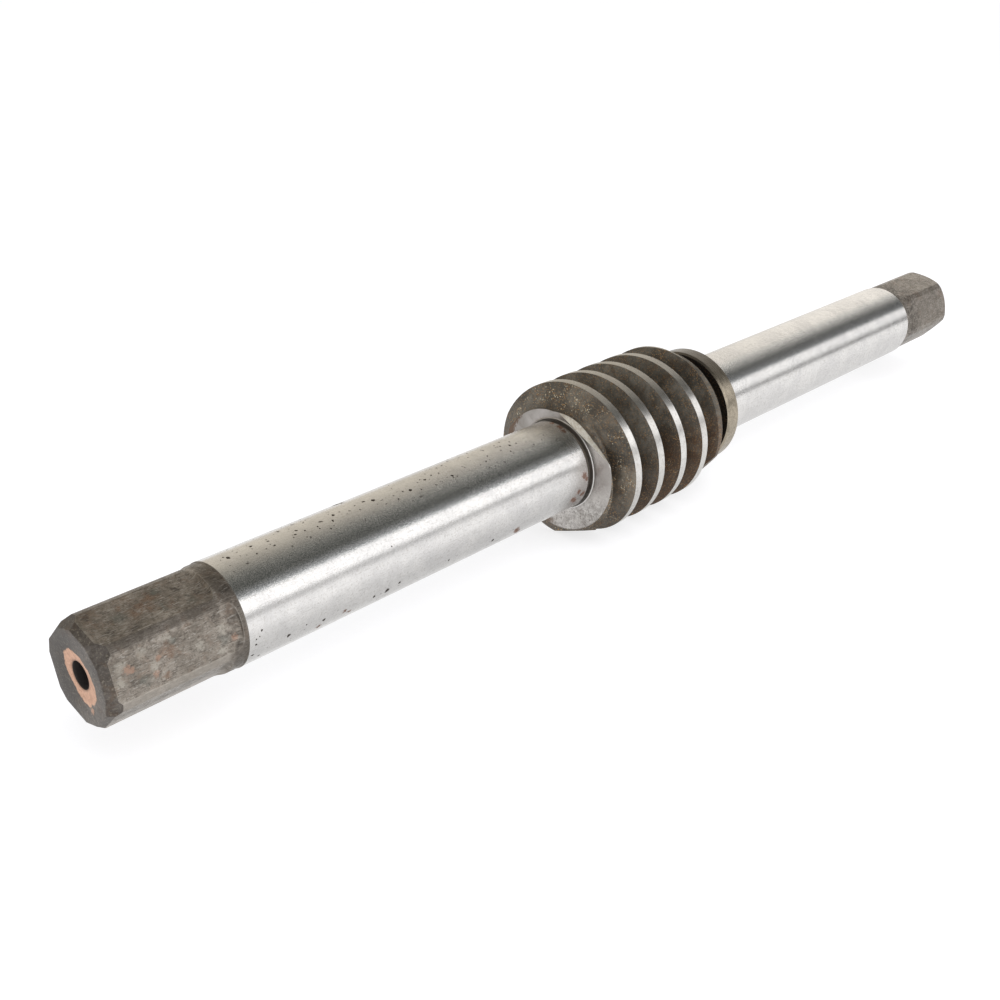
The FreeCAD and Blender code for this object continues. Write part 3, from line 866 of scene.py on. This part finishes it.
def faceSteel():
    # the worm's near face: turned bright, mottled towards the bottom, rusty at its upper rim
    material, tree, shader, place = newMaterial("faceSteel", 0.85)
    grime = useGroup(tree, "grime", place)
    parts = placeParts(tree, place)
    radius = radiusOut(tree, parts)
    tone = mixColour(tree, grime["Clouds"], colour(182, 177, 174), colour(158, 153, 148))
    low = mapRange(tree, parts[2], 0.008, -0.012)
    tone = tint(tree, tone, product(tree, grime["Mottle"], low), 0.7, colour(228, 225, 221))
    tone = tint(tree, tone, product(tree, grime["Specks"], low), 0.8, colour(104, 97, 90))
    tone = tint(tree, tone, grime["Blotches"], 0.35, colour(132, 124, 118))
    right = product(tree, mapRange(tree, parts[1], -0.012, -0.022),
                    mapRange(tree, parts[2], -0.016, -0.008))
    tone = tint(tree, tone, right, 0.5, colour(216, 211, 206))
    # painted highlight along the face's edges on the camera side
    edge = product(tree, edgeMask(tree, 0.5, 0.9, 0.99), mapRange(tree, parts[1], -0.014, -0.020))
    tone = tint(tree, tone, edge, 0.9, colour(252, 250, 246))
    rust = mathNode(tree, "MULTIPLY_ADD", grime["Mottle"], 1.4 * mm, radius)
    rust = mapRange(tree, rust, 27.8 * mm, 28.6 * mm)
    rust = product(tree, rust, mapRange(tree, parts[1], -0.001, 0.006))
    tone = tint(tree, tone, rust, 0.9, colour(106, 86, 70))
    # the relief beside the journal is painted dark as painted shade, and its outer edge gets a painted
    # highlight where it catches the light
    lip = product(tree, mapRange(tree, radius, 20.2 * mm, 20.5 * mm),
                  mapRange(tree, radius, 21.2 * mm, 20.9 * mm))
    lip = product(tree, lip, mapRange(tree, parts[1], 0.002, -0.006))
    tone = tint(tree, tone, lip, 0.9, colour(250, 248, 245))
    tone = tint(tree, tone, mapRange(tree, radius, 20.2 * mm, 19.8 * mm), 0.6, colour(96, 90, 82))
    rough = mapRange(tree, grime["Mottle"], 0, 1, 0.28, 0.4)
    bead = mathNode(tree, "ABSOLUTE", mathNode(tree, "SUBTRACT", radius, 20.6 * mm))
    bead = mapRange(tree, bead, 0.6 * mm, 0.0)
    height = mathNode(tree, "ADD", grime["Mottle"], grime["Grain"])
    height = mathNode(tree, "MULTIPLY_ADD", bead, 12.0, height)
    finishWith(tree, shader, tone, rough, height, 0.03, 0.35)
    return material


def lipSteel():
    # the flat where the thread's feather edge was ground off: brightest of all
    material, tree, shader, place = newMaterial("lipSteel", 0.9)
    grime = useGroup(tree, "grime", place)
    parts = placeParts(tree, place)
    tone = mixColour(tree, grime["Mottle"], colour(254, 253, 250), colour(232, 226, 216))
    # painted shade: the part away from the camera is painted darker
    tone = tint(tree, tone, mapRange(tree, parts[1], -0.007, 0.0), 0.5, colour(170, 160, 150))
    rough = mapRange(tree, grime["Mottle"], 0, 1, 0.3, 0.4)
    finishWith(tree, shader, tone, rough, grime["Grain"], 0.03, 0.4)
    return material


def collarSteel():
    # collar: turned, grey, painted lighter beige on its right as painted light
    material, tree, shader, place = newMaterial("collarSteel", 0.9)
    rings = useGroup(tree, "rings", place)
    grime = useGroup(tree, "grime", place)
    parts = placeParts(tree, place)
    tone = mixColour(tree, grime["Clouds"], colour(99, 94, 87), colour(112, 106, 98))
    # painted light: the side towards the camera and the softbox is painted lighter
    right = mapRange(tree, parts[1], -0.010, -0.024)
    tone = tint(tree, tone, right, 0.75, colour(200, 188, 168))
    tone = tint(tree, tone, grime["Mottle"], 0.35, colour(108, 99, 86))
    tone = tint(tree, tone, grime["Specks"], 0.4, colour(84, 76, 66))
    tone = tint(tree, tone, edgeMask(tree, 0.4, 0.85, 0.99), 0.4, colour(186, 178, 164))
    rough = mapRange(tree, rings["Brushed"], 0.3, 0.7, 0.22, 0.34)
    finishWith(tree, shader, tone, rough, mathNode(tree, "ADD", rings["Fine"], grime["Grain"]), 0.015, 0.25)
    return material


def grooveShadeSteel():
    # run-out groove and grinding reliefs: painted nearly black as painted shade in the grooves, with a few rust
    # specks
    material, tree, shader, place = newMaterial("grooveShadeSteel", 0.35)
    grime = useGroup(tree, "grime", place)
    dust = useGroup(tree, "dust", place)
    tone = mixColour(tree, grime["Clouds"], colour(31, 28, 25), colour(43, 39, 34))
    parts = placeParts(tree, place)
    radius = radiusOut(tree, parts)
    relief = mapRange(tree, radius, 20.6 * mm, 19.9 * mm)
    tone = tint(tree, tone, relief, 0.75, colour(132, 124, 113))
    tone = tint(tree, tone, dust["Gold"], 0.6, colour(142, 108, 72))
    rough = mapRange(tree, grime["Specks"], 0, 1, 0.42, 0.55)
    finishWith(tree, shader, tone, rough, grime["Specks"], 0.03)
    return material


# which face has which finish

def radiusOf(centre):
    return (centre.y ** 2 + centre.z ** 2) ** 0.5 / mm


featherNormal = Vector(around(worm["featherFlat"]["turn"], 1.0, -worm["featherFlat"]["slope"])).normalized()


# how far past the line between two finishes, in mm, the middle of a face may lie, then the station beyond
# which an end begins and the radius within which the lip lies
finishLines = {"hole": 0.3, "crest": 0.15, "loose": 0.05, "plain": 0.03, "close": 0.02,
               "endZone": 276.0, "root": 30.0}


def finishOf(centre, normal):
    s = shaft
    loose, plain, close = finishLines["loose"], finishLines["plain"], finishLines["close"]
    x = centre.x / mm
    station = x - s["wormNear"]
    radius = radiusOf(centre)
    outward = (centre.y * normal.y + centre.z * normal.z) / max(radius * mm, 1e-9)
    if radius < s["hole"] + finishLines["hole"] and abs(x) < s["farEnd"] - s["dishDepth"] + loose:
        return "hole"
    if x < s["nearShoulder"] + loose or x > s["farShoulder"] - loose:
        return "endFace" if abs(normal.x) > 0.3 and abs(x) > finishLines["endZone"] else "oxide"
    if station < -s["reliefWidth"] - plain or x > s["wormFar"] + s["reliefWidth"] + plain:
        return "journal"
    if station < -close or x > s["wormFar"] + close:
        return "groove"
    if abs(station) < plain and normal.x < -0.97:
        return "face"
    if station > s["runoutEnd"] + plain:
        return "collar"
    if station > s["runoutStart"] - plain:
        return "groove"
    if radius > s["crest"] - finishLines["crest"] and outward > 0.95 and station < s["crestEnd"] + 0.3:
        return "crest"
    if radius < finishLines["root"] and (normal - featherNormal).length < 0.02:
        return "lip"
    return "flank"


def finishShaft(body):
    materials = {
        "journal": journalSteel(), "crest": crestSteel(), "oxide": oxideSteel(), "endFace": endFaceSteel(),
        "hole": holeShadeSteel(), "flank": flankSteel(), "face": faceSteel(), "lip": lipSteel(),
        "collar": collarSteel(), "groove": grooveShadeSteel(),
    }
    body.data.materials.clear()
    for material in materials.values():
        body.data.materials.append(material)
    for index, name in enumerate(materials):
        selectFaces(body, lambda centre, normal: finishOf(centre, normal) == name)
        body.active_material_index = index
        bpy.ops.object.material_slot_assign()
        bpy.ops.object.mode_set(mode="OBJECT")
    pick(body)
    bpy.ops.object.shade_smooth_by_angle(angle=radians(22))
    bpy.ops.object.modifier_add(type="WEIGHTED_NORMAL")  # the broad faces set the shading
    weighted = body.modifiers[-1]
    weighted.keep_sharp = True
    weighted.weight = 80
    bpy.ops.object.modifier_apply(modifier=weighted.name)
    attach(body, "root")
    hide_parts("worm_shaft")


finishShaft(shaftBody)
print("shaft finished")


# floor, light and camera

studio = {
    "floorHeight": -35.5, "floorSpan": 16.0, "floorTone": (0.9, 0.9, 0.92, 1),
    "floorSeen": (1.55, 1.55, 1.62, 1),
    "cameraGlow": 0.72, "diffuseLevel": 0.65,
    # what bright steel mirrors of the room round the shaft: the wall behind it, the dark ceiling, the haze
    # beside the softbox, the softbox and the gap below it, and the turns where each gives way to the next
    "nearRoom": {
        "wall": (0.68, 0.63, 0.54, 1), "ceiling": (0.1, 0.1, 0.09, 1), "haze": (0.5, 0.5, 0.5, 1),
        "softbox": (1.4, 1.4, 1.4, 1), "gap": (0.65, 0.65, 0.65, 1),
        "wallEnds": (-72, 18), "hazeStarts": (26, 50), "softboxStarts": (46, 49), "gapStarts": (76, 80),
    },
    "farRoom": {
        "wall": (1.25, 1.2, 1.12, 1), "ceiling": (0.1, 0.1, 0.1, 1), "haze": (0.1, 0.1, 0.1, 1),
        "softbox": (0.85, 0.85, 0.85, 1), "gap": (0.06, 0.06, 0.06, 1),
        "wallEnds": (-28, 27), "hazeStarts": (26, 50), "softboxStarts": (45, 54), "gapStarts": (70, 84),
    },
    # how far along the shaft the view into the room turns from one to the other
    "roomChange": (0.68, 0.82),
    # the mirrored floor: open, in the shaft's shade and behind the shaft, with places across it in mm
    "nearFloor": {"open": 1.08, "shade": 0.67, "behind": 0.96},
    "farFloor": {"open": 1.0, "shade": 0.86, "behind": 1.0},
    "shadeEnds": (-25, -110), "behindStarts": (-14, 4), "floorChange": (-50, 100),
    "softbox": {"turn": 30.0, "distance": 1.4, "width": 1.6, "height": 0.9, "power": 9.0},
    "camera": {
        "place": (-0.4217, -0.3241, 0.2227), "forward": (0.6441, 0.6257, -0.44),
        "up": (0.3156, 0.3066, 0.898),
        "lens": 44.047, "sensorWidth": 36.0, "clipStart": 0.01,
    },
}


def giveWay(tree, value, first, second, places):
    # one colour gives way to the next between two places
    return mixColour(tree, mapRange(tree, value, *places), first, second)


def roomRound(tree, turn, room):
    glow = giveWay(tree, turn, room["wall"], room["ceiling"], room["wallEnds"])
    glow = giveWay(tree, turn, glow, room["haze"], room["hazeStarts"])
    glow = giveWay(tree, turn, glow, room["softbox"], room["softboxStarts"])
    return giveWay(tree, turn, glow, room["gap"], room["gapStarts"])


def floorAcross(tree, place, levels):
    shades = {name: (level, level, level, 1) for name, level in levels.items()}
    share = mapRange(tree, place, *studio["shadeEnds"], smooth=False)
    glow = mixColour(tree, share, shades["shade"], shades["open"])
    return giveWay(tree, place, glow, shades["behind"], studio["behindStarts"])


def layFloor():
    selectNothing()
    bpy.ops.mesh.primitive_plane_add(size=studio["floorSpan"], location=(0, 0, studio["floorHeight"] * mm))
    floor = bpy.context.object
    floor.name = "floor"
    material = bpy.data.materials.new("paleFloor")
    material.use_nodes = True
    tree = material.node_tree
    tree.nodes.clear()
    path = newNode(tree, "ShaderNodeLightPath")
    camera = path.outputs["Is Camera Ray"]
    mirrored = mathNode(tree, "MAXIMUM", path.outputs["Is Glossy Ray"], path.outputs["Is Transmission Ray"])
    tone = mixColour(tree, camera, studio["floorTone"], studio["floorSeen"])
    matte = newNode(tree, "ShaderNodeBsdfDiffuse", {"Color": tone})
    place = newNode(tree, "ShaderNodeTexCoord").outputs["Object"]
    parts = placeParts(tree, place)
    across = mathNode(tree, "DIVIDE", parts[1], mm)
    along = mathNode(tree, "DIVIDE", parts[0], mm)
    glow = giveWay(tree, along, floorAcross(tree, across, studio["nearFloor"]),
                   floorAcross(tree, across, studio["farFloor"]), studio["floorChange"])
    glow = mixColour(tree, camera, glow, (1, 1, 1, 1))
    white = newNode(tree, "ShaderNodeEmission", {"Color": glow, "Strength": 1.0})
    share = mathNode(tree, "MULTIPLY_ADD", camera, studio["cameraGlow"], mirrored)
    mixed = newNode(tree, "ShaderNodeMixShader", {0: share, 1: matte.outputs[0], 2: white.outputs[0]})
    result = newNode(tree, "ShaderNodeOutputMaterial")
    tree.links.new(mixed.outputs[0], result.inputs["Surface"])
    floor.data.materials.append(material)


def lightStudio():
    world = bpy.data.worlds.new("studio")
    bpy.context.scene.world = world
    world.use_nodes = True
    tree = world.node_tree
    tree.nodes.clear()
    direction = newNode(tree, "ShaderNodeTexCoord").outputs["Generated"]
    parts = placeParts(tree, direction)
    turn = mathNode(tree, "DEGREES", turnRound(tree, parts))
    sky = giveWay(tree, parts[0], roomRound(tree, turn, studio["nearRoom"]),
                  roomRound(tree, turn, studio["farRoom"]), studio["roomChange"])
    path = newNode(tree, "ShaderNodeLightPath")
    plain = studio["diffuseLevel"]
    tone = mixColour(tree, path.outputs["Is Glossy Ray"], (plain, plain, plain, 1), sky)
    seen = mathNode(tree, "MAXIMUM", path.outputs["Is Camera Ray"], path.outputs["Is Transmission Ray"])
    tone = mixColour(tree, seen, tone, (1.0, 1.0, 1.0, 1.0))
    glow = newNode(tree, "ShaderNodeBackground", {"Color": tone, "Strength": 1.0})
    result = newNode(tree, "ShaderNodeOutputWorld")
    tree.links.new(glow.outputs[0], result.inputs["Surface"])
    box = studio["softbox"]
    place = around(box["turn"], box["distance"])
    bpy.ops.object.light_add(type="AREA", location=place, rotation=(radians(box["turn"]), 0, 0))
    lamp = bpy.context.object
    lamp.name = "softbox"
    lamp.data.shape = "RECTANGLE"
    lamp.data.size = box["width"]
    lamp.data.size_y = box["height"]
    lamp.data.energy = box["power"]
    lamp.visible_glossy = False


def placeCamera():
    view = studio["camera"]
    forward = Vector(view["forward"]).normalized()
    right = forward.cross(Vector(view["up"])).normalized()
    up = right.cross(forward)
    turn = Matrix((right, up, -forward)).transposed().to_euler()
    bpy.ops.object.camera_add(location=view["place"], rotation=turn)
    camera = bpy.context.object
    camera.data.lens = view["lens"]
    camera.data.sensor_width = view["sensorWidth"]
    camera.data.clip_start = view["clipStart"]
    bpy.context.scene.camera = camera


layFloor()
lightStudio()
placeCamera()
scene = bpy.context.scene
scene.view_settings.view_transform = "Standard"
selectNothing()
print("studio ready")
